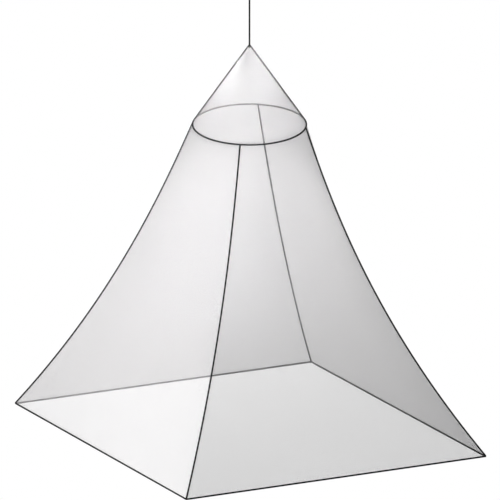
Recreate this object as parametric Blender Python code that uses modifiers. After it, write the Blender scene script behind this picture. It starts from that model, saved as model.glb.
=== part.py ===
"""Mosquito net canopy with hoop.

A hoop hangs in a sheer net. Above it a cone of two gores runs up to the hanging cord, and below
it four gores flare to a rectangular open hem. The origin is the top of the ceiling plate, +Z is
up, X runs along the short sides of the hem and Y along the long ones. Metres.
"""

from math import acos, asin, atan2, cos, hypot, pi, radians, sin

import bmesh
import bpy
from mathutils import Matrix, Vector

# Heights, from the ceiling down
APEX_DROP = 0.370  # ceiling to the point where the crown's seams would meet
CROWN_HEIGHT = 0.472  # apex to the middle of the hoop
HOOP_TO_HEM = 1.815  # middle of the hoop to the top of the hem's tape

# Hoop: a round rod that hangs a little out of level
HOOP_DIAMETER = 0.650
HOOP_ROD = 0.0096
HOOP_TILT = radians(5.7)
HOOP_HIGH_SIDE = radians(63.0)  # azimuth of the hoop's highest point

# Net
HEM_X = 1.915
HEM_Y = 2.190
NET_THICKNESS = 0.0012
FLARE_POWER = 2.44  # a higher power keeps the net narrow for longer
CROWN_TOP_RADIUS = 0.0070  # of the small hole that the cord comes through

# Tapes: rolled over the seams, folded round the hem
SEAM_TAPE = 0.0098
HEM_TAPE_THICKNESS = 0.0068
HEM_TAPE_HEIGHT = 0.0094
CLEARANCE = 0.0003

# Cord, its knot and its loop over the hook
CORD_DIAMETER = 0.0098
CORD_TAIL = 0.018  # length sewn in between the crown's seams, below the apex
KNOT_DROP = 0.0725  # ceiling to the knot's top
KNOT_HEIGHT = 0.027
KNOT_RADIUS = 0.0137
LEG_SPREAD = 0.0056  # from the middle to each leg of the loop where it enters the knot

# Ceiling fitting
PLATE_RADIUS = 0.022
PLATE_THICKNESS = 0.004
PLATE_BEVEL = 0.001
HOOK_WIRE = 0.005
HOOK_BOWL_RADIUS = 0.012
HOOK_BOWL_DROP = 0.030  # ceiling to the centre of the hook's bowl

# Facets
PANEL_COLUMNS = 15
PANEL_ROWS = 20
CROWN_ROWS = 5
CROWN_FACET = radians(6)
SEAM_STEPS = 24
HOOP_STEPS = 60
ROD_SIDES = 10
ROUND_STEPS = 24
CORD_STEPS = 20

HOOP_RADIUS = HOOP_DIAMETER / 2
HOOP_Z = -(APEX_DROP + CROWN_HEIGHT)
NET_BOTTOM_Z = HOOP_Z - HOOP_TO_HEM
APEX = Vector((0, 0, -APEX_DROP))
HOOK_BOTTOM_Z = -HOOK_BOWL_DROP - HOOK_BOWL_RADIUS
LOOP_RADIUS = HOOK_WIRE / 2 + CLEARANCE + CORD_DIAMETER / 2
KNOT_BOTTOM_Z = -KNOT_DROP - KNOT_HEIGHT
# The net stops this far from the centre line of the hoop or of a seam's tape
HOOP_MARGIN = HOOP_ROD / 2 + CLEARANCE
SEAM_MARGIN = SEAM_TAPE / 2 + CLEARANCE

# The four corner seams: the hem corner each runs to, the azimuth in degrees where it leaves the
# hoop, and how straight it hangs, from 0, all sag, to 1, a straight line
CORNERS = {
    "right_back": {"side": (1, 1), "azimuth": 54.5, "straightness": 0.794},
    "left_back": {"side": (-1, 1), "azimuth": 144.5, "straightness": 0.720},
    "left_front": {"side": (-1, -1), "azimuth": 233.6, "straightness": 0.527},
    "right_front": {"side": (1, -1), "azimuth": 324.5, "straightness": 0.603},
}
# Each side panel joins two corner seams, the first and the second anticlockwise from above
PANELS = {
    "back": ("right_back", "left_back"),
    "left": ("left_back", "left_front"),
    "front": ("left_front", "right_front"),
    "right": ("right_front", "right_back"),
}
# The hem's lengths of tape: each is turned by quarters from the front, and lies half its spread out
HEM_SIDES = {
    "front": {"quarter": 0, "length": HEM_X, "spread": HEM_Y},
    "right": {"quarter": 1, "length": HEM_Y, "spread": HEM_X},
    "back": {"quarter": 2, "length": HEM_X, "spread": HEM_Y},
    "left": {"quarter": 3, "length": HEM_Y, "spread": HEM_X},
}
# Where the two crown seams meet the hoop
CROWN_SEAMS = {"left": radians(138.3), "right": radians(347.9)}
# Each crown gore runs anticlockwise from its first seam to its second
CROWN_GORES = {"front": ("left", "right"), "back": ("right", "left")}

NET_COLOR = (0.86, 0.86, 0.85)
TAPE_COLOR = (0.030, 0.030, 0.032)
ROD_COLOR = (0.035, 0.035, 0.037)
CORD_COLOR = (0.035, 0.034, 0.034)
STEEL_COLOR = (0.55, 0.55, 0.56)


# The object's own shape: points on the hoop, the panels and the seams


def hoop_point(azimuth):
    """A point on the centre line of the tilted hoop."""
    away = azimuth - HOOP_HIGH_SIDE
    level = Vector((-sin(HOOP_HIGH_SIDE), cos(HOOP_HIGH_SIDE), 0)) * sin(away)
    uphill = Vector((cos(HOOP_HIGH_SIDE), sin(HOOP_HIGH_SIDE), 0)) * cos(away) * cos(HOOP_TILT)
    rise = Vector((0, 0, cos(away) * sin(HOOP_TILT)))
    return Vector((0, 0, HOOP_Z)) + (level + uphill + rise) * HOOP_RADIUS


def seam_azimuth(corner):
    """Where a corner seam leaves the hoop."""
    return radians(CORNERS[corner]["azimuth"])


def hem_corner(corner):
    x_side, y_side = CORNERS[corner]["side"]
    return Vector((x_side * HEM_X / 2, y_side * HEM_Y / 2, NET_BOTTOM_Z))


def net_point(panel, across, down):
    """A point on a side panel. across runs from its first seam to its second, and down from the
    hoop to the hem, both from 0 to 1."""
    first, second = PANELS[panel]
    turn = (seam_azimuth(second) - seam_azimuth(first)) % (2 * pi)
    top = hoop_point(seam_azimuth(first) + across * turn)
    bottom = hem_corner(first).lerp(hem_corner(second), across)
    start = CORNERS[first]["straightness"]
    straightness = start + (CORNERS[second]["straightness"] - start) * across
    outward = straightness * down + (1 - straightness) * down**FLARE_POWER
    point = top.lerp(bottom, outward)
    point.z = top.z + (NET_BOTTOM_Z - top.z) * down
    return point


def corner_seam_point(corner, down):
    """A point on a corner seam, which is the first edge of one of the side panels."""
    panel = next(name for name, seams in PANELS.items() if seams[0] == corner)
    return net_point(panel, 0, down)


def crown_point(azimuth, down):
    """A point on the crown's cone. down runs from the apex, 0, to the hoop, 1."""
    return APEX.lerp(hoop_point(azimuth), down)


# Margins that the tapes and the hoop take from the cloth

PROBE = 0.001  # a small part of a surface, for measuring its directions


def seam_share(panel, edge, down):
    """The share of a side panel's width that the tape takes at its edge, 0 or 1."""
    inward = PROBE if edge == 0 else -PROBE
    here = net_point(panel, edge, down)
    across = net_point(panel, edge + inward, down) - here
    along = net_point(panel, edge, down + PROBE) - here
    distance = across.cross(along).length / along.length
    return SEAM_MARGIN * PROBE / distance


def panel_span(panel, across):
    """Where a side panel starts under the hoop and where it stops above the hem's tape."""
    top = net_point(panel, across, 0)
    start = HOOP_MARGIN * PROBE / (net_point(panel, across, PROBE) - top).length
    lean = net_point(panel, across, 1) - net_point(panel, across, 1 - PROBE)
    edge_drop = NET_THICKNESS / 2 * hypot(lean.x, lean.y) / lean.length
    end = 1 - (CLEARANCE + edge_drop) / (top.z - NET_BOTTOM_Z)
    return start, end


def panel_place(panel, column, row):
    """Where a grid point of a side panel lies. column and row run from 0 to 1."""
    start, end = panel_span(panel, column)
    down = start + (end - start) * row
    first = seam_share(panel, 0, down)
    second = seam_share(panel, 1, down)
    return net_point(panel, first + (1 - first - second) * column, down)


def crown_seam_angle(down):
    """The azimuth that half a crown seam's tape takes from a gore."""
    half_angle = atan2(HOOP_RADIUS, CROWN_HEIGHT)
    slant = down * hypot(HOOP_RADIUS, CROWN_HEIGHT)
    spread = asin(SEAM_MARGIN / slant)
    return acos((cos(spread) - cos(half_angle) ** 2) / sin(half_angle) ** 2)


def crown_place(gore, column, row):
    """Where a grid point of a crown gore lies. column and row run from 0 to 1."""
    first, second = (CROWN_SEAMS[seam] for seam in CROWN_GORES[gore])
    turn = (second - first) % (2 * pi)
    start = CROWN_TOP_RADIUS / HOOP_RADIUS
    end = 1 - HOOP_MARGIN / (hoop_point(first + turn * column) - APEX).length
    down = start + (end - start) * row
    side = crown_seam_angle(down)
    return crown_point(first + side + (turn - 2 * side) * column, down)


# Making objects


def clear_scene():
    for obj in list(bpy.data.objects):
        bpy.data.objects.remove(obj, do_unlink=True)


def make_material(name, color, roughness, metallic):
    material = bpy.data.materials.new(name)
    material.use_nodes = True
    shader = material.node_tree.nodes["Principled BSDF"]
    shader.inputs["Base Color"].default_value = (*color, 1.0)
    shader.inputs["Roughness"].default_value = roughness
    shader.inputs["Metallic"].default_value = metallic
    return material


def add_object(name, data, color, roughness=0.8, metallic=0.0):
    """Links a piece into the canopy's collection, under its empty, in its own material."""
    data.materials.append(make_material(name, color, roughness, metallic))
    obj = bpy.data.objects.new(name, data)
    obj.parent = bpy.data.objects["canopy"]
    bpy.data.collections["mosquito_net_canopy"].objects.link(obj)
    return obj


def add_sheet(name, columns, rows, place):
    """A sheet of net: a grid laid on a surface, then given its thickness."""
    bm = bmesh.new()
    bmesh.ops.create_grid(bm, x_segments=columns, y_segments=rows, size=0.5)
    for vertex in bm.verts:
        vertex.co = place(vertex.co.x + 0.5, vertex.co.y + 0.5)
    bmesh.ops.reverse_faces(bm, faces=bm.faces[:])
    mesh = bpy.data.meshes.new(name)
    bm.to_mesh(mesh)
    bm.free()
    mesh.shade_smooth()
    mesh.set_sharp_from_angle(angle=radians(40))
    sheet = add_object(name, mesh, NET_COLOR, roughness=0.9)
    solidify = sheet.modifiers.new("Thickness", "SOLIDIFY")
    solidify.thickness = NET_THICKNESS
    solidify.offset = 0
    return sheet


def add_tube(name, points, diameter, color, roughness=0.8, metallic=0.0):
    """A round tube along a list of points, closed at both ends."""
    curve = bpy.data.curves.new(name, "CURVE")
    curve.dimensions = "3D"
    curve.bevel_depth = diameter / 2
    curve.bevel_resolution = 2
    curve.use_fill_caps = True
    spline = curve.splines.new("POLY")
    spline.points.add(len(points) - 1)
    for spline_point, point in zip(spline.points, points):
        spline_point.co = (*point, 1)
    spline.use_smooth = True
    return add_object(name, curve, color, roughness, metallic)


def add_turned(name, profile, color, roughness=0.8, metallic=0.0):
    """A turned piece: its profile of (radius, height), top to bottom, swept round Z."""
    mesh = bpy.data.meshes.new(name)
    edges = [(i, i + 1) for i in range(len(profile) - 1)]
    mesh.from_pydata([(radius, 0, height) for radius, height in profile], edges, [])
    turned = add_object(name, mesh, color, roughness, metallic)
    screw = turned.modifiers.new("Turn", "SCREW")
    screw.steps = ROUND_STEPS
    screw.render_steps = ROUND_STEPS
    screw.use_merge_vertices = True
    screw.merge_threshold = 0.0001
    return turned


def smooth_route(points, steps):
    """Points on a smooth curve through the given ones, with `steps` of them to each stretch."""
    ends = [2 * points[0] - points[1], *points, 2 * points[-1] - points[-2]]
    route = []
    for before, a, b, after in zip(ends, ends[1:], ends[2:], ends[3:]):
        for i in range(steps):
            t = i / steps
            pull = (b - before) * t * (1 - t) ** 2 - (after - a) * t * t * (1 - t)
            route.append(a.lerp(b, t * t * (3 - 2 * t)) + pull / 2)
    return [*route, points[-1]]


# The pieces


def make_panels():
    for panel in PANELS:
        add_sheet(
            f"panel_{panel}",
            PANEL_COLUMNS,
            PANEL_ROWS,
            lambda column, row, panel=panel: panel_place(panel, column, row),
        )


def make_crown():
    for gore, (first, second) in CROWN_GORES.items():
        turn = (CROWN_SEAMS[second] - CROWN_SEAMS[first]) % (2 * pi)
        add_sheet(
            f"crown_{gore}",
            round(turn / CROWN_FACET),
            CROWN_ROWS,
            lambda column, row, gore=gore: crown_place(gore, column, row),
        )


def hoop_gap(azimuth, seam):
    """From the hoop's middle to the square end of a tape that runs along a seam there."""
    along_hoop = (hoop_point(azimuth + PROBE) - hoop_point(azimuth)).normalized()
    return HOOP_MARGIN + SEAM_TAPE / 2 * abs(seam.dot(along_hoop)) / seam.length


def make_corner_bindings():
    for corner in CORNERS:
        top = corner_seam_point(corner, 0)
        leave = corner_seam_point(corner, PROBE) - top
        start = hoop_gap(seam_azimuth(corner), leave) * PROBE / leave.length
        lean = corner_seam_point(corner, 1) - corner_seam_point(corner, 1 - PROBE)
        end_drop = SEAM_TAPE / 2 * hypot(lean.x, lean.y) / lean.length
        end = 1 - (CLEARANCE + end_drop) / (top.z - NET_BOTTOM_Z)
        downs = [start + (end - start) * i / SEAM_STEPS for i in range(SEAM_STEPS + 1)]
        points = [corner_seam_point(corner, down) for down in downs]
        add_tube(f"binding_{corner}", points, SEAM_TAPE, TAPE_COLOR)


def make_crown_bindings():
    half_angle = atan2(HOOP_RADIUS, CROWN_HEIGHT)
    top_radius = CORD_DIAMETER / 2 + CLEARANCE + SEAM_TAPE / 2 * cos(half_angle)
    for side, azimuth in CROWN_SEAMS.items():
        start = top_radius / HOOP_RADIUS
        slant = hoop_point(azimuth) - APEX
        end = 1 - hoop_gap(azimuth, slant) / slant.length
        points = [crown_point(azimuth, down) for down in (start, end)]
        add_tube(f"binding_crown_{side}", points, SEAM_TAPE, TAPE_COLOR)


def make_hem():
    """Four straight lengths of tape, mitred where they meet at the corners."""
    half = HEM_TAPE_THICKNESS / 2
    for side, tape_size in HEM_SIDES.items():
        curve = bpy.data.curves.new(f"hem_{side}", "CURVE")
        curve.dimensions = "2D"
        curve.fill_mode = "BOTH"
        curve.extrude = HEM_TAPE_HEIGHT / 2
        outer = tape_size["length"] / 2 + half - CLEARANCE
        inner = tape_size["length"] / 2 - half - CLEARANCE
        outline = [(-outer, -half), (outer, -half), (inner, half), (-inner, half)]
        spline = curve.splines.new("POLY")
        spline.points.add(len(outline) - 1)
        for spline_point, (x, y) in zip(spline.points, outline):
            spline_point.co = (x, y, 0, 1)
        spline.use_cyclic_u = True
        tape = add_object(f"hem_{side}", curve, TAPE_COLOR)
        turn = tape_size["quarter"] * pi / 2
        middle = Matrix.Rotation(turn, 3, "Z") @ Vector((0, -tape_size["spread"] / 2, 0))
        tape.location = (middle.x, middle.y, NET_BOTTOM_Z - HEM_TAPE_HEIGHT / 2)
        tape.rotation_euler.z = turn


def make_hoop():
    bpy.ops.mesh.primitive_torus_add(
        major_radius=HOOP_RADIUS,
        minor_radius=HOOP_ROD / 2,
        major_segments=HOOP_STEPS,
        minor_segments=ROD_SIDES,
    )
    torus = bpy.context.object
    mesh = torus.data
    bpy.data.objects.remove(torus, do_unlink=True)
    mesh.name = "hoop"
    mesh.shade_smooth()
    hoop = add_object("hoop", mesh, ROD_COLOR, roughness=0.45)
    level_axis = Vector((sin(HOOP_HIGH_SIDE), -cos(HOOP_HIGH_SIDE), 0))
    tilt = Matrix.Rotation(HOOP_TILT, 3, level_axis)
    turn = Matrix.Rotation(seam_azimuth("right_back"), 3, "Z")
    hoop.rotation_euler = (tilt @ turn).to_euler()
    hoop.location.z = HOOP_Z


def make_cord():
    """The taut cord, from the tail sewn into the crown up to the knot under the loop."""
    top = Vector((0, 0, KNOT_BOTTOM_Z - CLEARANCE))
    tail = APEX - Vector((0, 0, CORD_TAIL))
    points = [tail.lerp(top, i / CORD_STEPS) for i in range(CORD_STEPS + 1)]
    add_tube("cord", points, CORD_DIAMETER, CORD_COLOR, roughness=0.85)

    knot_profile = [(0, 0), (0.78, 0), (0.95, 0.14), (1, 0.30), (0.90, 0.5), (1, 0.70)]
    knot_profile += [(0.95, 0.86), (0.55, 1), (0, 1)]
    profile = [(r * KNOT_RADIUS, -KNOT_DROP - h * KNOT_HEIGHT) for r, h in knot_profile]
    add_turned("cord_knot", profile, CORD_COLOR, roughness=0.85)

    leg_bottom = -KNOT_DROP + CLEARANCE
    leg = [
        Vector((0, LEG_SPREAD, leg_bottom)),
        Vector((0, LEG_SPREAD, leg_bottom + 0.006)),
        Vector((0, LEG_SPREAD + 0.0013, leg_bottom + 0.018)),
        Vector((0, LOOP_RADIUS, HOOK_BOTTOM_Z)),
    ]
    bend = [radians(angle) for angle in (45, 90, 135)]
    over = [
        Vector((0, LOOP_RADIUS * cos(angle), HOOK_BOTTOM_Z + LOOP_RADIUS * sin(angle)))
        for angle in bend
    ]
    back = [Vector((0, -point.y, point.z)) for point in reversed(leg)]
    add_tube("cord_loop", smooth_route([*leg, *over, *back], 3), CORD_DIAMETER, CORD_COLOR)


def make_ceiling_fitting():
    shank_top = -PLATE_THICKNESS - CLEARANCE
    bowl = [radians(angle) for angle in (15, -20, -55, -90, -125, -160, -190)]
    points = [
        Vector((0, 0, shank_top)),
        Vector((0.0010, 0, shank_top - 0.005)),
        Vector((0.0060, 0, shank_top - 0.0125)),
    ]
    points += [
        Vector((cos(angle), 0, sin(angle))) * HOOK_BOWL_RADIUS - Vector((0, 0, HOOK_BOWL_DROP))
        for angle in bowl
    ]
    route = smooth_route(points, 3)
    add_tube("ceiling_hook", route, HOOK_WIRE, STEEL_COLOR, roughness=0.3, metallic=1.0)

    bpy.ops.mesh.primitive_cylinder_add(
        vertices=ROUND_STEPS, radius=PLATE_RADIUS, depth=PLATE_THICKNESS
    )
    cylinder = bpy.context.object
    mesh = cylinder.data
    bpy.data.objects.remove(cylinder, do_unlink=True)
    mesh.name = "ceiling_plate"
    plate = add_object("ceiling_plate", mesh, STEEL_COLOR, roughness=0.3, metallic=1.0)
    plate.location.z = -PLATE_THICKNESS / 2
    bevel = plate.modifiers.new("Soft rim", "BEVEL")
    bevel.width = PLATE_BEVEL
    bevel.segments = 2


def main():
    clear_scene()
    collection = bpy.data.collections.new("mosquito_net_canopy")
    bpy.context.scene.collection.children.link(collection)
    collection.objects.link(bpy.data.objects.new("canopy", None))
    make_panels()
    make_crown()
    make_corner_bindings()
    make_crown_bindings()
    make_hem()
    make_hoop()
    make_cord()
    make_ceiling_fitting()


main()
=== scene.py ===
from math import cos, hypot, pi, radians, sin, sqrt

import bmesh
import bpy
from mathutils import Matrix, Vector


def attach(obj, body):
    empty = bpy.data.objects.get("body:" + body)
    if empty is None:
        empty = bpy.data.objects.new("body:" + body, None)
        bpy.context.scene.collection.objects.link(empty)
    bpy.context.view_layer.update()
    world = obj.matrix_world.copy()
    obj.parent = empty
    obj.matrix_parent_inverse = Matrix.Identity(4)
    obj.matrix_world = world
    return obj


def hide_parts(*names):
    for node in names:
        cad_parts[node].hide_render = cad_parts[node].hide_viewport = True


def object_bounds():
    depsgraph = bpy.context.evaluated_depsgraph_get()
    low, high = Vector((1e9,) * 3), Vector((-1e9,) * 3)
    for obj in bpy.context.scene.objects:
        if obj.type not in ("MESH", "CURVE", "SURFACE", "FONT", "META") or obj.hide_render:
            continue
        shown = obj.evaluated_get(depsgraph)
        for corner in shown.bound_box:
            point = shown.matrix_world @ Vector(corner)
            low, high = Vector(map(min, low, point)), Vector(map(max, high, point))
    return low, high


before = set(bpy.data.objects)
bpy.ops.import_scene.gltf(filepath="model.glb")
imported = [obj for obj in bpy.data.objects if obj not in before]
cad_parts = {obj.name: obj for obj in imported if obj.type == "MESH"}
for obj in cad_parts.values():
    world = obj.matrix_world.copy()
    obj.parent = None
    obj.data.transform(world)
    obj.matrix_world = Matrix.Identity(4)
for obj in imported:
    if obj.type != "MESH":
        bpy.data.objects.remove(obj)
cadBox = [list(corner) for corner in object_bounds()]
scene = bpy.context.scene


# the camera stands far off with a long lens, so that the hem's opposite sides stay parallel
viewpoint = {
    "azimuth": 26.909,  # degrees from +Y towards +X that it looks
    "elevation": 15.739,
    "target": (0.12887, 0.24742, -1.66717),
    "distance": 111.744,
    "beyond": 80,  # how far past the target it sees
    "lens": 1400,
    "sensor": 36,
    "nearest": 1,
}


def placeCamera():
    turn, dip = radians(viewpoint["azimuth"]), radians(viewpoint["elevation"])
    look = Vector((sin(turn) * cos(dip), cos(turn) * cos(dip), -sin(dip)))
    data = bpy.data.cameras.new("camera")
    data.lens = viewpoint["lens"]
    data.sensor_width = viewpoint["sensor"]
    data.clip_start = viewpoint["nearest"]
    data.clip_end = viewpoint["distance"] + viewpoint["beyond"]
    camera = bpy.data.objects.new("camera", data)
    scene.collection.objects.link(camera)
    camera.location = Vector(viewpoint["target"]) - look * viewpoint["distance"]
    camera.rotation_euler = look.to_track_quat("-Z", "Y").to_euler()
    scene.camera = camera


placeCamera()
print("camera placed")


class Wire:
    # a node's output that works in sums
    def __init__(self, recipe, socket):
        self.recipe = recipe
        self.socket = socket

    def __add__(self, other):
        return maths("ADD", self, other)

    def __radd__(self, other):
        return maths("ADD", other, self)

    def __sub__(self, other):
        return maths("SUBTRACT", self, other)

    def __rsub__(self, other):
        return maths("SUBTRACT", other, self)

    def __mul__(self, other):
        return maths("MULTIPLY", self, other)

    def __rmul__(self, other):
        return maths("MULTIPLY", other, self)

    def __truediv__(self, other):
        return maths("DIVIDE", self, other)

    def __rtruediv__(self, other):
        return maths("DIVIDE", other, self)

    def __pow__(self, other):
        return maths("POWER", self, other)

    def __rpow__(self, other):
        return maths("POWER", other, self)

    def __abs__(self):
        return maths("ABSOLUTE", self)

    def output(self, name):
        return Wire(self.recipe, self.socket.node.outputs[name])


def maths(operation, *values):
    recipe = next(value.recipe for value in values if isinstance(value, Wire))
    return recipe.add("ShaderNodeMath", {"operation": operation}, *values)


class Recipe:
    # a tree of nodes: a material's, the world's or a Geometry Nodes one
    def __init__(self, tree):
        self.tree = tree
        tree.nodes.clear()

    def add(self, kind, settings=None, *values, **named):
        node = self.tree.nodes.new(kind)
        for key, value in (settings or {}).items():
            setattr(node, key, value)
        for place, value in [*enumerate(values), *named.items()]:
            if isinstance(place, str):
                place = place.replace("_", " ")
            self.feed(node.inputs[place], value)
        return Wire(self, node.outputs[0]) if node.outputs else None

    def feed(self, socket, value):
        if isinstance(value, Wire):
            self.tree.links.new(value.socket, socket)
        elif value is not None:
            socket.default_value = value

    def blend(self, share, first, second):
        # a colour between two others
        mix = self.add("ShaderNodeMix", {"data_type": "RGBA"}).socket.node
        for place, value in ((0, share), (6, first), (7, second)):
            self.feed(mix.inputs[place], (*value, 1) if isinstance(value, tuple) else value)
        return Wire(self, mix.outputs[2])

    def split(self, vector):
        parts = self.add("ShaderNodeSeparateXYZ", None, vector)
        return [parts.output(axis) for axis in "XYZ"]


def newMaterial(name):
    material = bpy.data.materials.new(name)
    material.use_nodes = True
    return material, Recipe(material.node_tree)


netFinish = {
    "color": (0.870, 0.850, 0.861),
    "shade": (0.810, 0.790, 0.801),
    "cloudScale": 3.0,  # of the change between the two colours
    "meshPitch": 0.0017,  # from hole to hole
    "threadShare": 0.100,  # half a thread's width, in pitches
    "threadEdge": 0.03,
    "drift": 0.0030,  # how far its rows wander
    "driftScale": 28.0,
    "bump": 0.3,
    "relief": 0.0002,
    "roughness": 0.85,
    "sheen": 0.1,
    "translucency": 0.12,
}


def makeNetFinish():
    # six-sided holes between soft threads, on the cloth's own map in metres
    material, recipe = newMaterial("sheerNet")
    weave = recipe.add("ShaderNodeUVMap", {"uv_map": "weave"})
    drift = recipe.add("ShaderNodeTexNoise", None, weave, Scale=netFinish["driftScale"], Detail=1.0)
    drift = recipe.add(
        "ShaderNodeVectorMath",
        {"operation": "MULTIPLY_ADD"},
        drift.output("Color"),
        (netFinish["drift"],) * 3,
        weave,
    )
    u, v, _ = recipe.split(drift)
    across, along = u / netFinish["meshPitch"], v / netFinish["meshPitch"]

    def fromHole(shift):
        x = abs(maths("FRACT", across + shift) - 0.5)
        y = abs(maths("FRACT", along / sqrt(3) + shift) - 0.5) * sqrt(3)
        return maths("MAXIMUM", x, x * 0.5 + y * (sqrt(3) / 2))

    nearest = maths("MINIMUM", fromHole(0), fromHole(0.5))
    edge, soft = 0.5 - netFinish["threadShare"], netFinish["threadEdge"]
    settings = {"interpolation_type": "SMOOTHSTEP"}
    thread = recipe.add("ShaderNodeMapRange", settings, nearest, edge - soft, edge + soft)
    cloudy = recipe.add(
        "ShaderNodeTexNoise", None, weave, Scale=netFinish["cloudScale"], Detail=2.0
    )
    color = recipe.blend(cloudy, netFinish["shade"], netFinish["color"])
    raised = maths("MAXIMUM", 0.0, (nearest - edge) / netFinish["threadShare"])
    bump = recipe.add(
        "ShaderNodeBump",
        None,
        Strength=netFinish["bump"],
        Distance=netFinish["relief"],
        Height=maths("MINIMUM", 1.0, raised),
    )
    cloth = recipe.add(
        "ShaderNodeBsdfPrincipled",
        None,
        color,
        Roughness=netFinish["roughness"],
        Normal=bump,
        Sheen_Weight=netFinish["sheen"],
    )
    glow = recipe.add("ShaderNodeBsdfTranslucent", None, color)
    body = recipe.add("ShaderNodeMixShader", None, netFinish["translucency"], cloth, glow)
    hole = recipe.add("ShaderNodeBsdfTransparent")
    surface = recipe.add("ShaderNodeMixShader", None, thread, hole, body)
    recipe.add("ShaderNodeOutputMaterial", None, surface)
    return material


def makePlainFinish(name, look, height, share):
    # height raises the surface; share runs from the colour to its paler one, which on the tape's ribs
    # and the cord's braid is painted shade and light, and elsewhere wear and grain
    material, recipe = newMaterial(name)
    high, shade = height(recipe), share(recipe)
    color = recipe.blend(shade, look["color"], look["paleTone"])
    bump = recipe.add(
        "ShaderNodeBump", None, Strength=look["bump"], Distance=look["relief"], Height=high
    )
    surface = recipe.add(
        "ShaderNodeBsdfPrincipled",
        None,
        color,
        look["metallic"],
        shade * look["roughSpread"] + look["roughness"],
        Specular_IOR_Level=look["specular"],
        Normal=bump,
    )
    recipe.add("ShaderNodeOutputMaterial", None, surface)
    return material


def noise(recipe, scale, detail=4.0, stretch=(1, 1, 1)):
    place = recipe.add("ShaderNodeTexCoord").output("Object")
    place = recipe.add("ShaderNodeMapping", None, place, Scale=stretch)
    return recipe.add("ShaderNodeTexNoise", None, place, Scale=scale, Detail=detail)


tapeFinish = {
    "color": (0.010, 0.010, 0.011),
    "paleTone": (0.026, 0.026, 0.028),
    "roughness": 0.82,
    "roughSpread": 0.12,
    "specular": 0.2,
    "bump": 0.5,
    "relief": 0.0002,
    "metallic": 0.0,
    "ribPitch": 0.0011,
    "ribTurns": 9,  # ribs met on the way round, which slants them
    # how strongly the ribs' troughs are painted darker and their crests lighter, as painted shade
    "ribPaintedShade": 0.15,
    "patchWear": 0.7,
    "patchScale": 60.0,
}


def tapeRibs(recipe):
    # slanted ribs, from how far round the tape a point is and how far along
    named = {"attribute_name": "round"}
    x, y, _ = recipe.split(recipe.add("ShaderNodeAttribute", named).output("Vector"))
    run = recipe.add("ShaderNodeAttribute", {"attribute_name": "run"}).output("Fac")
    turn = maths("ARCTAN2", y, x) * tapeFinish["ribTurns"]
    return maths("SINE", run * (2 * pi / tapeFinish["ribPitch"]) + turn)


# painted shade: darker in the ribs' troughs and lighter on their crests, with real wear in patches
def tapePaintedShadeAndWear(recipe):
    patches = noise(recipe, tapeFinish["patchScale"]) * tapeFinish["patchWear"]
    return tapeRibs(recipe) * tapeFinish["ribPaintedShade"] + patches


threadFinish = {
    "color": (0.024, 0.024, 0.026),
    "paleTone": (0.050, 0.050, 0.053),
    "roughness": 0.5,
    "roughSpread": 0.2,
    "specular": 0.4,
    "bump": 0.3,
    "relief": 0.0001,
    "metallic": 0.0,
    "grain": 900.0,
}
cordFinish = {
    "color": (0.011, 0.011, 0.012),
    "paleTone": (0.034, 0.034, 0.036),
    "roughness": 0.65,
    "roughSpread": 0.2,
    "specular": 0.25,
    "bump": 0.4,
    "relief": 0.0001,
    "metallic": 0.0,
    "grain": 1500.0,
    # how strongly the braid's grooves are painted darker and its strands lighter, as painted shade
    "braidPaintedShade": 0.6,
    "grainWear": 0.4,
}
rodFinish = {
    "color": (0.012, 0.012, 0.013),
    "paleTone": (0.034, 0.034, 0.036),
    "roughness": 0.3,
    "roughSpread": 0.3,
    "specular": 0.35,
    "bump": 0.12,
    "relief": 0.0002,
    "metallic": 0.0,
    "grain": 140.0,
    "patchScale": 25.0,
    "patchContrast": 2.0,
}
steelFinish = {
    "color": (0.56, 0.56, 0.57),
    "paleTone": (0.72, 0.72, 0.73),
    "roughness": 0.34,
    "roughSpread": 0.18,
    "specular": 0.5,
    "bump": 0.08,
    "relief": 0.0001,
    "metallic": 1.0,
    "brushing": (60, 60, 1500),
}


def threadGrain(recipe):
    return noise(recipe, threadFinish["grain"])


def cordGrain(recipe):
    return noise(recipe, cordFinish["grain"])


# painted shade: darker in the grooves between the braid's strands and lighter on them; the grain is
# the fibres' own tone
def cordPaintedShadeAndGrain(recipe):
    raised = recipe.add("ShaderNodeAttribute", {"attribute_name": "braid"}).output("Fac")
    return raised * cordFinish["braidPaintedShade"] + cordGrain(recipe) * cordFinish["grainWear"]


def rodGrain(recipe):
    return noise(recipe, rodFinish["grain"])


def rodWear(recipe):
    return noise(recipe, rodFinish["patchScale"]) ** rodFinish["patchContrast"]


def brushed(recipe):
    return noise(recipe, 1.0, stretch=steelFinish["brushing"])


netMaterial = makeNetFinish()
tapeMaterial = makePlainFinish("seamTape", tapeFinish, tapeRibs, tapePaintedShadeAndWear)
threadMaterial = makePlainFinish("sewingThread", threadFinish, threadGrain, threadGrain)
cordMaterial = makePlainFinish("braidedCord", cordFinish, cordGrain, cordPaintedShadeAndGrain)
rodMaterial = makePlainFinish("coatedRod", rodFinish, rodGrain, rodWear)
steelMaterial = makePlainFinish("platedSteel", steelFinish, brushed, brushed)
print("finishes mixed")


def finishPiece(name, mesh, material, nodes):
    # a piece of the object, which rides on the root and stands for CAD nodes
    mesh.name = name
    if not mesh.materials:
        mesh.materials.append(material)
    piece = bpy.data.objects.new(name, mesh)
    scene.collection.objects.link(piece)
    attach(piece, "root")
    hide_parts(*nodes)
    return piece


def smoothRoute(points, steps):
    # a smooth curve through the points
    ends = [2 * points[0] - points[1], *points, 2 * points[-1] - points[-2]]
    route = []
    for before, a, b, after in zip(ends, ends[1:], ends[2:], ends[3:]):
        for i in range(steps):
            t = i / steps
            pull = (b - before) * t * (1 - t) ** 2 - (after - a) * t * t * (1 - t)
            route.append(a.lerp(b, t * t * (3 - 2 * t)) + pull / 2)
    return [*route, points[-1]]


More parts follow.
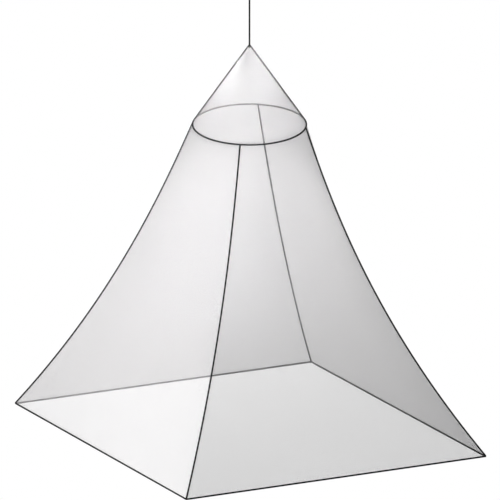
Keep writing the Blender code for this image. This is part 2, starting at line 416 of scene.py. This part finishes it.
def evenRoute(points, step):
    # the same line with points a step apart
    marks = [0.0]
    for a, b in zip(points, points[1:]):
        marks.append(marks[-1] + (b - a).length)
    count = max(2, round(marks[-1] / step))
    even, k = [], 0
    for i in range(count + 1):
        mark = marks[-1] * i / count
        while k < len(points) - 2 and marks[k + 1] < mark:
            k += 1
        even.append(points[k].lerp(points[k + 1], (mark - marks[k]) / (marks[k + 1] - marks[k])))
    return even


def sweepTube(points, sides, surface, tipBulge=0.4):
    # surface(angle, length) gives the radius and how raised the point is; the tips bulge in radii
    bm = bmesh.new()
    raisedLayer = bm.verts.layers.float.new("braid")
    heading = (points[1] - points[0]).normalized()
    side = heading.orthogonal().normalized()
    length, rings = 0.0, []
    for i, point in enumerate(points):
        before, after = points[max(i - 1, 0)], points[min(i + 1, len(points) - 1)]
        turned = (after - before).normalized()
        side.rotate(heading.rotation_difference(turned))
        heading = turned
        up = heading.cross(side)
        length += (point - before).length
        ring = []
        for j in range(sides):
            angle = 2 * pi * j / sides
            radius, raised = surface(angle, length)
            vertex = bm.verts.new(point + (side * cos(angle) + up * sin(angle)) * radius)
            vertex[raisedLayer] = raised
            ring.append(vertex)
        rings.append(ring)
    for lower, upper in zip(rings, rings[1:]):
        for j in range(sides):
            k = (j + 1) % sides
            bm.faces.new((lower[j], lower[k], upper[k], upper[j]))
    for ring, end, inner in ((rings[0], points[0], points[1]), (rings[-1], points[-1], points[-2])):
        bulge = (ring[0].co - end).length * tipBulge
        tip = bm.verts.new(end + (end - inner).normalized() * bulge)
        for j in range(sides):
            bm.faces.new((tip, ring[j], ring[(j + 1) % sides]))
    bmesh.ops.recalc_face_normals(bm, faces=bm.faces[:])
    mesh = bpy.data.meshes.new("tube")
    bm.to_mesh(mesh)
    bm.free()
    mesh.shade_smooth()
    return mesh


# the canopy's shape, as its solids have it
canopy = {
    "apex": -0.370,
    "hoopHeight": -0.842,
    "hoopRadius": 0.325,
    "hoopTilt": radians(5.7),
    "hoopHighSide": radians(63),
    "hemX": 1.915,
    "hemY": 2.190,
    "netBottom": -2.657,
    "flarePower": 2.44,
}
# each corner seam: the hem corner it runs to, where it leaves the hoop, and how straight it hangs
corners = {
    "right_back": {"side": (1, 1), "azimuth": 54.5, "straightness": 0.794},
    "left_back": {"side": (-1, 1), "azimuth": 144.5, "straightness": 0.720},
    "left_front": {"side": (-1, -1), "azimuth": 233.6, "straightness": 0.527},
    "right_front": {"side": (1, -1), "azimuth": 324.5, "straightness": 0.603},
}
# each panel and gore joins two seams, anticlockwise from above
panels = {
    "back": ("right_back", "left_back"),
    "left": ("left_back", "left_front"),
    "front": ("left_front", "right_front"),
    "right": ("right_front", "right_back"),
}
crownSeams = {"left": radians(138.3), "right": radians(347.9)}
crownGores = {"front": ("left", "right"), "back": ("right", "left")}
hemSides = {
    "front": {"quarter": 0, "length": "hemX", "spread": "hemY"},
    "right": {"quarter": 1, "length": "hemY", "spread": "hemX"},
    "back": {"quarter": 2, "length": "hemX", "spread": "hemY"},
    "left": {"quarter": 3, "length": "hemY", "spread": "hemX"},
}
apex = Vector((0, 0, canopy["apex"]))


def hoopPoint(azimuth):
    high, tilt = canopy["hoopHighSide"], canopy["hoopTilt"]
    away = azimuth - high
    level = Vector((-sin(high), cos(high), 0)) * sin(away)
    uphill = Vector((cos(high), sin(high), 0)) * cos(away) * cos(tilt)
    rise = Vector((0, 0, cos(away) * sin(tilt)))
    return Vector((0, 0, canopy["hoopHeight"])) + (level + uphill + rise) * canopy["hoopRadius"]


def seamAzimuth(corner):
    return radians(corners[corner]["azimuth"])


def hemCorner(corner):
    x, y = corners[corner]["side"]
    return Vector((x * canopy["hemX"] / 2, y * canopy["hemY"] / 2, canopy["netBottom"]))


def panelPoint(panel, across, down):
    # across runs between the panel's two seams and down from the hoop to the hem, 0 to 1
    first, second = panels[panel]
    turn = (seamAzimuth(second) - seamAzimuth(first)) % (2 * pi)
    top = hoopPoint(seamAzimuth(first) + across * turn)
    bottom = hemCorner(first).lerp(hemCorner(second), across)
    start = corners[first]["straightness"]
    straight = start + (corners[second]["straightness"] - start) * across
    outward = straight * down + (1 - straight) * down ** canopy["flarePower"]
    point = top.lerp(bottom, outward)
    point.z = top.z + (canopy["netBottom"] - top.z) * down
    return point


def seamPoint(corner, down):
    panel = next(name for name, seams in panels.items() if seams[0] == corner)
    return panelPoint(panel, 0, down)


def crownPoint(azimuth, down):
    return apex.lerp(hoopPoint(azimuth), down)


cordSize = {
    "diameter": 0.0098,
    "tail": 0.018,  # sewn in below the apex
    "endsBelow": 0.003,  # the knot's middle, inside it
    "points": 21,
    "strands": 4,  # that wind each way
    "lay": 0.033,  # one turn of a strand
    "braidDepth": 0.14,  # of the radius
    "braidFullness": 0.6,  # less is fuller
    "sides": 32,
    "ringStep": 0.0008,
}
knotSize = {
    "top": -0.0725,
    "height": 0.027,
    "wraps": 2.2,
    "radius": 0.0088,
    "marks": 60,
    "tucked": 0.3,  # of the radius, where the wrap's ends go in beside the cord
}
loopSize = {
    "radius": 0.0077,
    "spread": 0.0056,  # from the middle to a leg, at the knot
    "leg": ((-0.0008, -0.006), (0, 0), (0, 0.0063), (0.0013, 0.0183)),  # out and up from there
    "bend": (45, 90, 135),
}
hookSize = {
    "wire": 0.005,
    "shank": ((0, -0.0035), (0.0010, -0.0093), (0.0060, -0.0168)),
    "bowlRadius": 0.012,
    "bowlHeight": -0.030,
    "bowlAngles": (15, -20, -55, -90, -125, -160, -190),
    "sides": 28,
    "ringStep": 0.0006,
}
plateSize = {
    "radius": 0.022,
    "thickness": 0.004,
    "middle": 0.4,  # of the radius, plain
    "rim": 0.001,
    "rimAngles": (0, 15, 30, 45, 60, 75, 90),
    "grooveInset": 0.0050,
    "grooveWidth": 0.0008,
    "grooveDepth": 0.0003,
    "grooveMarks": 8,
    "sharp": 35,
    "sides": 96,
}


def braid(angle, length):
    # two sets of strands wind round each other, opposite ways
    travel = 2 * pi * length / cordSize["lay"]
    strands = cordSize["strands"]
    height = max(cos(strands * (angle + travel)), cos(strands * (angle - travel)), 0.0)
    raised = height ** cordSize["braidFullness"]
    return cordSize["diameter"] / 2 * (1 - cordSize["braidDepth"] * (1 - raised)), raised


def braidAlong(route):
    return sweepTube(evenRoute(route, cordSize["ringStep"]), cordSize["sides"], braid)


def makeKnot(middle):
    reach = (knotSize["height"] - cordSize["diameter"]) / 2
    wraps = []
    for i in range(knotSize["marks"] + 1):
        t = i / knotSize["marks"]
        angle = 2 * pi * knotSize["wraps"] * t
        spot = Vector((cos(angle), sin(angle), 0)) * knotSize["radius"]
        wraps.append(spot + Vector((0, 0, middle + reach * (1 - 2 * t))))
    tucked = [wraps[0].copy(), *wraps, wraps[-1].copy()]
    for end in (0, -1):
        tucked[end].x *= knotSize["tucked"]
        tucked[end].y *= knotSize["tucked"]
    mesh = braidAlong(smoothRoute(tucked, steps=3))
    return finishPiece("cordKnot", mesh, cordMaterial, ["cord_knot"])


def makeLoop():
    # up from the knot, over the hook's bowl and back
    radius, spread = loopSize["radius"], loopSize["spread"]
    hookBottom = hookSize["bowlHeight"] - hookSize["bowlRadius"]
    leg = [Vector((0, spread + out, knotSize["top"] + up)) for out, up in loopSize["leg"]]
    leg.append(Vector((0, radius, hookBottom)))
    bend = [
        Vector((0, cos(angle), sin(angle))) * radius + Vector((0, 0, hookBottom))
        for angle in map(radians, loopSize["bend"])
    ]
    back = [Vector((0, -point.y, point.z)) for point in reversed(leg)]
    mesh = braidAlong(smoothRoute([*leg, *bend, *back], steps=8))
    return finishPiece("cordLoop", mesh, cordMaterial, ["cord_loop"])


def makeCord():
    knotMiddle = knotSize["top"] - knotSize["height"] / 2
    tail = Vector((0, 0, canopy["apex"] - cordSize["tail"]))
    top = Vector((0, 0, knotMiddle - cordSize["endsBelow"]))
    last = cordSize["points"] - 1
    route = [tail.lerp(top, i / last) for i in range(last + 1)]
    cord = finishPiece("cordBraid", braidAlong(route), cordMaterial, ["cord"])
    onCord = [makeKnot(knotMiddle), makeLoop()]
    [list(point) for point in route]


makeCord()
print("cord hung")


def makeHook():
    bowl = [
        Vector((cos(angle), 0, sin(angle))) * hookSize["bowlRadius"]
        + Vector((0, 0, hookSize["bowlHeight"]))
        for angle in map(radians, hookSize["bowlAngles"])
    ]
    shank = [Vector((out, 0, height)) for out, height in hookSize["shank"]]
    route = evenRoute(smoothRoute([*shank, *bowl], steps=10), hookSize["ringStep"])
    wire = sweepTube(route, hookSize["sides"], lambda angle, length: (hookSize["wire"] / 2, 0.0))
    finishPiece("ceilingHook", wire, steelMaterial, ["ceiling_hook"])


def makePlate():
    # a turned disc with a rounded rim and a fine groove, flat against the ceiling
    radius, deep, rim = plateSize["radius"], plateSize["thickness"], plateSize["rim"]
    corner = [
        (radius - rim + rim * sin(angle), deep - rim + rim * cos(angle))
        for angle in map(radians, plateSize["rimAngles"])
    ]
    groove = []
    for i in range(plateSize["grooveMarks"] + 1):
        t = i / plateSize["grooveMarks"]
        inset = plateSize["grooveInset"] - plateSize["grooveWidth"] * t
        groove.append((radius - inset, deep - plateSize["grooveDepth"] * sin(pi * t)))
    lower = [(0.0, deep), (radius * plateSize["middle"], deep), *groove, *corner]
    profile = [*lower, *[(r, deep - depth) for r, depth in reversed(corner)], (0.0, 0.0)]
    bm = bmesh.new()
    line = [bm.verts.new((r, 0, -depth)) for r, depth in profile]
    edges = [bm.edges.new(pair) for pair in zip(line, line[1:])]
    bmesh.ops.spin(
        bm,
        geom=[*line, *edges],
        cent=(0, 0, 0),
        axis=(0, 0, 1),
        angle=2 * pi,
        steps=plateSize["sides"],
        use_merge=True,
    )
    bmesh.ops.remove_doubles(bm, verts=bm.verts[:], dist=0.00001)
    bmesh.ops.recalc_face_normals(bm, faces=bm.faces[:])
    mesh = bpy.data.meshes.new("plate")
    bm.to_mesh(mesh)
    bm.free()
    mesh.shade_smooth()
    mesh.set_sharp_from_angle(angle=radians(plateSize["sharp"]))
    finishPiece("ceilingPlate", mesh, steelMaterial, ["ceiling_plate"])


makeHook()
makePlate()
print("ceiling fitting made")


netSize = {
    "thickness": 0.00004,
    "tuck": 0.0032,  # where the cloth's edge lies inside a tape, from the seam's line
    "mostTuck": 0.04,  # of a gore's width
    "intoHem": 0.003,
    "panelEase": 1.08,  # cut longer than it drops, for its slant and curve
    "crownEase": 1.05,
    "crosswise": "left",  # the panel cut across the cloth's run
    "columns": 64,
    "rows": 72,
    "crownTop": 0.0165,  # share of the crown's height left open for the cord
    "crownColumns": 72,
    "crownRows": 20,
}


def clothMesh(grid, crosswise):
    # grid[row][column] of points, mapped in metres from its middle column
    rows, columns = len(grid), len(grid[0])
    bm = bmesh.new()
    weave = bm.loops.layers.uv.new("weave")
    verts = [[bm.verts.new(point) for point in row] for row in grid]
    middle = columns // 2
    spots, drop = [], 0.0
    for i, row in enumerate(grid):
        drop += (row[middle] - grid[max(i - 1, 0)][middle]).length
        marks = [0.0]
        for a, b in zip(row, row[1:]):
            marks.append(marks[-1] + (b - a).length)
        spots.append([(mark - marks[middle], -drop) for mark in marks])
    for i in range(rows - 1):
        for j in range(columns - 1):
            corner = [(i, j), (i + 1, j), (i + 1, j + 1), (i, j + 1)]
            face = bm.faces.new([verts[r][c] for r, c in corner])
            for loop, (r, c) in zip(face.loops, corner):
                across, along = spots[r][c]
                loop[weave].uv = (along, -across) if crosswise else (across, along)
    mesh = bpy.data.meshes.new("cloth")
    area = sum(face.calc_area() for face in bm.faces)
    bm.to_mesh(mesh)
    bm.free()
    mesh.shade_smooth()
    return mesh, area


def addCloth(name, grid, node, crosswise=False):
    mesh, area = clothMesh(grid, crosswise)
    cloth = finishPiece(name, mesh, netMaterial, [node])
    thickness = cloth.modifiers.new("Thickness", "SOLIDIFY")
    thickness.thickness = netSize["thickness"]
    thickness.offset = 0


def panelGrid(panel):
    grid = []
    for i in range(netSize["rows"] + 1):
        down = i / netSize["rows"]
        width = (panelPoint(panel, 1, down) - panelPoint(panel, 0, down)).length
        edge = netSize["tuck"] / width
        row = [
            panelPoint(panel, edge + (1 - 2 * edge) * j / netSize["columns"], down)
            for j in range(netSize["columns"] + 1)
        ]
        grid.append(row)
    for point, above in zip(grid[-1], grid[-2]):  # the last row goes on into the hem's tape
        lean = (point - above).normalized()
        point += lean * netSize["intoHem"] / abs(lean.z)
    return grid


def crownGrid(gore):
    first, second = (crownSeams[seam] for seam in crownGores[gore])
    turn = (second - first) % (2 * pi)
    grid = []
    for i in range(netSize["crownRows"] + 1):
        share = i / netSize["crownRows"]
        down = netSize["crownTop"] + (1 - netSize["crownTop"]) * share
        edge = min(netSize["mostTuck"], netSize["tuck"] / (canopy["hoopRadius"] * down) / turn)
        row = [
            crownPoint(first + turn * (edge + (1 - 2 * edge) * j / netSize["crownColumns"]), down)
            for j in range(netSize["crownColumns"] + 1)
        ]
        grid.append(row)
    return grid


tapeSize = {
    "seam": 0.0098,  # rolled over a seam
    "seamDepth": 0.0094,
    "seamGroove": 0.12,  # pinched in at its edges
    "grooveSharpness": 24.0,
    "seamMarks": 180,
    "seamIntoHem": 0.003,
    "crownMarks": (0.010, 0.25, 0.5, 0.75, 1),
    "hemThickness": 0.0068,
    "hemHeight": 0.0094,
    "hemSquareness": 0.55,
    "hemMarks": 20,  # each way from its middle
    "step": 0.012,
    "sides": 28,
    "stitchPitch": 0.0065,
    "stitchLength": 0.0040,
    "stitchMargin": 0.012,
    "stitchMarks": 5,
    "stitchDip": -0.7,  # of its ends, in threads
    "stitchRise": 0.9,
    "thread": 0.0007,
    "threadSides": 6,
}


def newNodes(name, sizes):
    # a Geometry Nodes tree with a route, sizes and two materials as its named inputs
    tree = bpy.data.node_groups.new(name, "GeometryNodeTree")
    face = tree.interface
    face.new_socket("Mesh", in_out="OUTPUT", socket_type="NodeSocketGeometry")
    face.new_socket("Route", in_out="INPUT", socket_type="NodeSocketGeometry")
    for size, value in sizes.items():
        kind = "NodeSocketInt" if isinstance(value, int) else "NodeSocketFloat"
        face.new_socket(size, in_out="INPUT", socket_type=kind).default_value = value
    for finish in ("Body Finish", "Thread Finish"):
        face.new_socket(finish, in_out="INPUT", socket_type="NodeSocketMaterial")
    recipe = Recipe(tree)
    return tree, recipe, recipe.add("NodeGroupInput")


def sewTogether(recipe, body, thread, entry):
    # both parts as one mesh, each in its own finish
    store = {"data_type": "BOOLEAN", "domain": "FACE"}
    thread = recipe.add("GeometryNodeStoreNamedAttribute", store, thread, Name="sewn", Value=True)
    joined = recipe.add("GeometryNodeJoinGeometry").socket.node
    for part in (thread, body):
        recipe.tree.links.new(part.socket, joined.inputs[0])
    solid = recipe.add("GeometryNodeRealizeInstances", None, Wire(recipe, joined.outputs[0]))
    smooth = recipe.add("GeometryNodeSetShadeSmooth", None, solid)
    sewn = recipe.add("GeometryNodeInputNamedAttribute", {"data_type": "BOOLEAN"}, "sewn")
    made = recipe.add("GeometryNodeSetMaterial", None, smooth, True, entry.output("Body Finish"))
    made = recipe.add("GeometryNodeSetMaterial", None, made, sewn, entry.output("Thread Finish"))
    recipe.add("NodeGroupOutput", None, made)


def keep(recipe, geometry, name, value, kind="FLOAT"):
    # stores a value on each point, for the finish to read
    settings = {"data_type": kind, "domain": "POINT"}
    return recipe.add(
        "GeometryNodeStoreNamedAttribute", settings, geometry, Name=name, Value=value
    )


def makeTapeNodes():
    # a tape along a route, with a row of stitches on each of two sides
    sizes = {
        "Width": tapeSize["seam"],
        "Depth": tapeSize["seamDepth"],
        "Squareness": 1.0,  # 1 is round, less is squarer
        "Groove": 0.0,
        "Step": tapeSize["step"],
        "Stitch Pitch": tapeSize["stitchPitch"],
        "Stitch Length": tapeSize["stitchLength"],
        "Stitch Margin": tapeSize["stitchMargin"],
        "Thread": tapeSize["thread"],
        "On Edge": 0.0,  # 1 puts the stitches on the sides
    }
    tree, recipe, entry = newNodes("sewnTape", sizes)
    size = {name: entry.output(name) for name in sizes}
    add = recipe.add
    line = add("GeometryNodeMeshToCurve", None, entry.output("Route"))
    line = add("GeometryNodeResampleCurve", {"mode": "LENGTH"}, line, Length=size["Step"])
    line = add("GeometryNodeSetCurveNormal", {"mode": "Z_UP"}, line)
    run = add("GeometryNodeSplineParameter").output("Length")
    line = keep(recipe, line, "run", run)

    ring = add("GeometryNodeCurvePrimitiveCircle", None, tapeSize["sides"], Radius=1.0)
    place = add("GeometryNodeInputPosition")
    ring = keep(recipe, ring, "round", place, "FLOAT_VECTOR")
    x, y, _ = recipe.split(place)

    def squared(wire):
        return maths("SIGN", wire) * abs(wire) ** size["Squareness"]

    pinch = 1 - size["Groove"] * abs(x) ** tapeSize["grooveSharpness"]
    shaped = add(
        "ShaderNodeCombineXYZ",
        None,
        squared(x) * pinch * size["Width"] * 0.5,
        squared(y) * size["Depth"] * 0.5,
    )
    ring = add("GeometryNodeSetPosition", None, ring, True, shaped)
    body = add("GeometryNodeCurveToMesh", None, line, ring, Fill_Caps=True)

    total = add("GeometryNodeCurveLength", None, line)
    trimmed = add("GeometryNodeTrimCurve", {"mode": "LENGTH"}, line).socket.node
    recipe.feed(trimmed.inputs[4], size["Stitch Margin"])
    recipe.feed(trimmed.inputs[5], total - size["Stitch Margin"])
    seats = add(
        "GeometryNodeCurveToPoints",
        {"mode": "LENGTH"},
        Wire(recipe, trimmed.outputs[0]),
        Length=size["Stitch Pitch"],
    )
    tangent, normal = seats.output("Tangent"), seats.output("Normal")
    upright = add("ShaderNodeVectorMath", {"operation": "CROSS_PRODUCT"}, tangent, normal)
    facing = add("ShaderNodeMix", {"data_type": "VECTOR"}).socket.node
    for place, value in ((0, size["On Edge"]), (4, upright), (5, normal)):
        recipe.feed(facing.inputs[place], value)
    facing = Wire(recipe, facing.outputs[1])
    arc = add("GeometryNodeCurveQuadraticBezier", None, tapeSize["stitchMarks"]).socket.node
    half = size["Stitch Length"] * 0.5
    dip, rise = size["Thread"] * tapeSize["stitchDip"], size["Thread"] * tapeSize["stitchRise"]
    for place, height, along in (("Start", dip, half * -1), ("Middle", rise, 0.0), ("End", dip, half)):
        recipe.feed(arc.inputs[place], add("ShaderNodeCombineXYZ", None, height, 0.0, along))
    sides = tapeSize["threadSides"]
    thin = add("GeometryNodeCurvePrimitiveCircle", None, sides, Radius=size["Thread"] * 0.5)
    arc = Wire(recipe, arc.outputs[0])
    stitch = add("GeometryNodeCurveToMesh", None, arc, thin, Fill_Caps=True)
    seat = size["Depth"] * 0.5 * (1 - size["On Edge"]) + size["Width"] * 0.5 * size["On Edge"]
    rows = []
    for way in (1, -1):
        out = add("ShaderNodeVectorMath", {"operation": "SCALE"}, facing, Scale=float(way))
        lift = add("ShaderNodeVectorMath", {"operation": "SCALE"}, out, Scale=seat)
        axes = {"primary_axis": "Z", "secondary_axis": "X"}
        aim = add("FunctionNodeAxesToRotation", axes, tangent, out)
        row = add("GeometryNodeSetPosition", None, seats, Offset=lift)
        rows.append(
            add("GeometryNodeInstanceOnPoints", None, row, Instance=stitch, Rotation=aim)
        )
    both = add("GeometryNodeJoinGeometry").socket.node
    for row in rows:
        recipe.tree.links.new(row.socket, both.inputs[0])
    thread = add("GeometryNodeRealizeInstances", None, Wire(recipe, both.outputs[0]))
    sewTogether(recipe, body, thread, entry)
    return tree


def grow(name, tree, points, closed=False, **sizes):
    # runs a tree along a route, and gives back its plain mesh
    base = bpy.data.meshes.new(name + "Route")
    edges = [(i, i + 1) for i in range(len(points) - 1)]
    base.from_pydata(points, [*edges, (len(points) - 1, 0)] if closed else edges, [])
    route = bpy.data.objects.new(name + "Route", base)
    scene.collection.objects.link(route)
    nodes = route.modifiers.new("Grow", "NODES")
    nodes.node_group = tree
    for item in tree.interface.items_tree:
        key = item.name.replace(" ", "_")
        if item.in_out == "INPUT" and key in sizes:
            nodes[item.identifier] = sizes[key]
    bpy.context.view_layer.update()
    depsgraph = bpy.context.evaluated_depsgraph_get()
    mesh = bpy.data.meshes.new_from_object(
        route.evaluated_get(depsgraph), preserve_all_data_layers=True, depsgraph=depsgraph
    )
    route.modifiers.clear()
    bpy.data.objects.remove(route, do_unlink=True)
    return mesh


tapeNodes = makeTapeNodes()
stitching = {
    "Step": tapeSize["step"],
    "Stitch_Pitch": tapeSize["stitchPitch"],
    "Stitch_Length": tapeSize["stitchLength"],
    "Stitch_Margin": tapeSize["stitchMargin"],
    "Thread": tapeSize["thread"],
    "Body_Finish": tapeMaterial,
    "Thread_Finish": threadMaterial,
}


def addSeamTape(name, points, node):
    mesh = grow(
        name,
        tapeNodes,
        points,
        Width=tapeSize["seam"],
        Depth=tapeSize["seamDepth"],
        Groove=tapeSize["seamGroove"],
        **stitching,
    )
    return finishPiece(name, mesh, tapeMaterial, [node])


def makeSeamTapes():
    tapes = {}
    count = tapeSize["seamMarks"]
    for corner in corners:
        points = [seamPoint(corner, i / count) for i in range(count + 1)]
        onward = (points[-1] - points[-2]).normalized() * tapeSize["seamIntoHem"]
        points.append(points[-1] + onward)
        name = "seamTape_" + corner
        tapes[corner] = addSeamTape(name, points, "binding_" + corner)
    for side, azimuth in crownSeams.items():
        points = [crownPoint(azimuth, down) for down in tapeSize["crownMarks"]]
        name = "crownTape_" + side
        tapes["crown_" + side] = addSeamTape(name, points, "binding_crown_" + side)
    return tapes


def makeHemTapes():
    tapes = {}
    count = tapeSize["hemMarks"]
    middleHeight = canopy["netBottom"] - tapeSize["hemHeight"] / 2
    for side, hem in hemSides.items():
        half, spread = canopy[hem["length"]] / 2, canopy[hem["spread"]] / 2
        name = "hemTape_" + side
        mesh = grow(
            name,
            tapeNodes,
            [(half * i / count, 0, 0) for i in range(-count, count + 1)],
            Width=tapeSize["hemThickness"],
            Depth=tapeSize["hemHeight"],
            Squareness=tapeSize["hemSquareness"],
            On_Edge=1.0,
            **stitching,
        )
        for vertex in mesh.vertices:  # mitred: the outer face runs further than the inner one
            vertex.co.x *= (half - vertex.co.y) / half
        turn = Matrix.Rotation(hem["quarter"] * pi / 2, 4, "Z")
        mesh.transform(turn @ Matrix.Translation((0, -spread, middleHeight)))
        tapes[side] = finishPiece(name, mesh, tapeMaterial, ["hem_" + side])
    return tapes


seamTapes = makeSeamTapes()
print("seams bound")
hemTapes = makeHemTapes()
print("hem bound")


hoopSize = {
    "rod": 0.0096,
    "sides": 20,
    "marks": 240,
    "thread": 0.0007,
    "threadSides": 6,
    "threadSeat": 0.4,  # from the rod's surface to its middle, in threads
    "turns": 190,
    "marksPerTurn": 14,
}


def makeHoopNodes():
    # a rod, with thread wound round it that holds the cloth's edges
    sizes = {
        "Rod": hoopSize["rod"],
        "Thread": hoopSize["thread"],
        "Turns": hoopSize["turns"],
        "Points Per Turn": hoopSize["marksPerTurn"],
    }
    tree, recipe, entry = newNodes("boundHoop", sizes)
    size = {name: entry.output(name) for name in sizes}
    add = recipe.add
    line = add("GeometryNodeMeshToCurve", None, entry.output("Route"))
    ring = add("GeometryNodeCurvePrimitiveCircle", None, hoopSize["sides"], Radius=size["Rod"] * 0.5)
    body = add("GeometryNodeCurveToMesh", None, line, ring)
    count = size["Turns"] * size["Points Per Turn"]
    wound = add("GeometryNodeResampleCurve", {"mode": "COUNT"}, line, Count=count)
    share = add("GeometryNodeInputIndex") / size["Points Per Turn"]
    angle = share * (2 * pi)
    normal = add("GeometryNodeInputNormal")
    tangent = add("GeometryNodeInputTangent")
    binormal = add("ShaderNodeVectorMath", {"operation": "CROSS_PRODUCT"}, tangent, normal)
    radius = size["Rod"] * 0.5 + size["Thread"] * hoopSize["threadSeat"]
    out = []
    for wave, axis in (("COSINE", normal), ("SINE", binormal)):
        scale = maths(wave, angle) * radius
        out.append(add("ShaderNodeVectorMath", {"operation": "SCALE"}, axis, Scale=scale))
    offset = add("ShaderNodeVectorMath", {"operation": "ADD"}, *out)
    wound = add("GeometryNodeSetPosition", None, wound, Offset=offset)
    sides = hoopSize["threadSides"]
    thin = add("GeometryNodeCurvePrimitiveCircle", None, sides, Radius=size["Thread"] * 0.5)
    thread = add("GeometryNodeCurveToMesh", None, wound, thin)
    sewTogether(recipe, body, thread, entry)
    return tree


def makeHoop():
    count = hoopSize["marks"]
    mesh = grow(
        "hoopRod",
        makeHoopNodes(),
        [hoopPoint(2 * pi * i / count) for i in range(count)],
        closed=True,
        Rod=hoopSize["rod"],
        Thread=hoopSize["thread"],
        Turns=hoopSize["turns"],
        Points_Per_Turn=hoopSize["marksPerTurn"],
        Body_Finish=rodMaterial,
        Thread_Finish=threadMaterial,
    )
    finishPiece("hoopRod", mesh, rodMaterial, ["hoop"])


makeHoop()
print("hoop bound in")


def makeNet():
    for panel, (first, _) in panels.items():
        crosswise = panel == netSize["crosswise"]
        addCloth("net_" + panel, panelGrid(panel), "panel_" + panel, crosswise)
    slant = hypot(canopy["hoopRadius"], canopy["apex"] - canopy["hoopHeight"])
    for gore, (first, second) in crownGores.items():
        addCloth("crownNet_" + gore, crownGrid(gore), "crown_" + gore)


makeNet()
print("net hung")


studio = {
    "world": (0.0, 0.0, 0.0),
    "backdrop": 1.0,
    "floorColor": (0.35, 0.35, 0.35),
    "floorRoughness": 0.9,
    "floorSize": 160,
    "floorGap": 0.0005,  # under the hem
}
# soft lamps, one of them inside the net
lights = {
    "side": {
        "place": (-3.2, -1.2, -2.0),
        "aim": (-0.8, -0.3, -2.2),
        "size": 1.0,
        "spread": 180,
        "power": 53.0,
    },
    "key": {
        "place": (-2.0, -3.0, 0),
        "aim": (-0.3, 0, -1.5),
        "size": 0.8,
        "spread": 40,
        "power": 2.8,
    },
    "low": {
        "place": (-0.4, -3.8, -0.2),
        "aim": (0, -0.3, -1.5),
        "size": 0.8,
        "spread": 50,
        "power": 3.9,
    },
    "crown": {
        "place": (0.2, 0.2, 2.2),
        "aim": (0, 0, -0.58),
        "size": 0.3,
        "spread": 16,
        "power": 2.2,
    },
    "far": {
        "place": (-2.6, 2.4, -0.4),
        "aim": (-0.4, 0.4, -1.8),
        "size": 0.9,
        "spread": 120,
        "power": 34.3,
    },
    "inside": {
        "place": (0, -0.2, -1.2),
        "aim": (0.1, 0.5, -2.0),
        "size": 0.3,
        "spread": 150,
        "power": 3.6,
    },
}


def makeFloor():
    # matte, and plain paper white to the camera
    material, recipe = newMaterial("studioFloor")
    seen = recipe.add("ShaderNodeLightPath").output("Is Camera Ray")
    matte = recipe.add(
        "ShaderNodeBsdfPrincipled",
        None,
        (*studio["floorColor"], 1),
        Roughness=studio["floorRoughness"],
    )
    paper = recipe.add("ShaderNodeEmission", None, (1, 1, 1, 1), studio["backdrop"])
    surface = recipe.add("ShaderNodeMixShader", None, seen, matte, paper)
    recipe.add("ShaderNodeOutputMaterial", None, surface)
    half, height = studio["floorSize"] / 2, cadBox[0][2] - studio["floorGap"]
    mesh = bpy.data.meshes.new("studioFloor")
    square = [(-half, -half), (half, -half), (half, half), (-half, half)]
    mesh.from_pydata([(x, y, height) for x, y in square], [], [(0, 1, 2, 3)])
    mesh.materials.append(material)
    floor = bpy.data.objects.new("studioFloor", mesh)
    scene.collection.objects.link(floor)


def makeLights():
    for name, light in lights.items():
        data = bpy.data.lights.new(name, "AREA")
        data.energy = light["power"]
        data.size = light["size"]
        data.spread = radians(light["spread"])
        lamp = bpy.data.objects.new(name, data)
        scene.collection.objects.link(lamp)
        lamp.location = light["place"]
        aim = Vector(light["aim"]) - lamp.location
        lamp.rotation_euler = aim.to_track_quat("-Z", "Y").to_euler()
        lamp.visible_camera = False


def makeBackdrop():
    world = bpy.data.worlds.new("studio")
    scene.world = world
    world.use_nodes = True
    recipe = Recipe(world.node_tree)
    seen = recipe.add("ShaderNodeLightPath").output("Is Camera Ray")
    soft = recipe.add("ShaderNodeBackground", None, (*studio["world"], 1), 1.0)
    paper = recipe.add("ShaderNodeBackground", None, (1, 1, 1, 1), studio["backdrop"])
    surface = recipe.add("ShaderNodeMixShader", None, seen, soft, paper)
    recipe.add("ShaderNodeOutputWorld", None, surface)
    scene.view_settings.view_transform = "Standard"


makeFloor()
makeLights()
makeBackdrop()
print("studio lit")
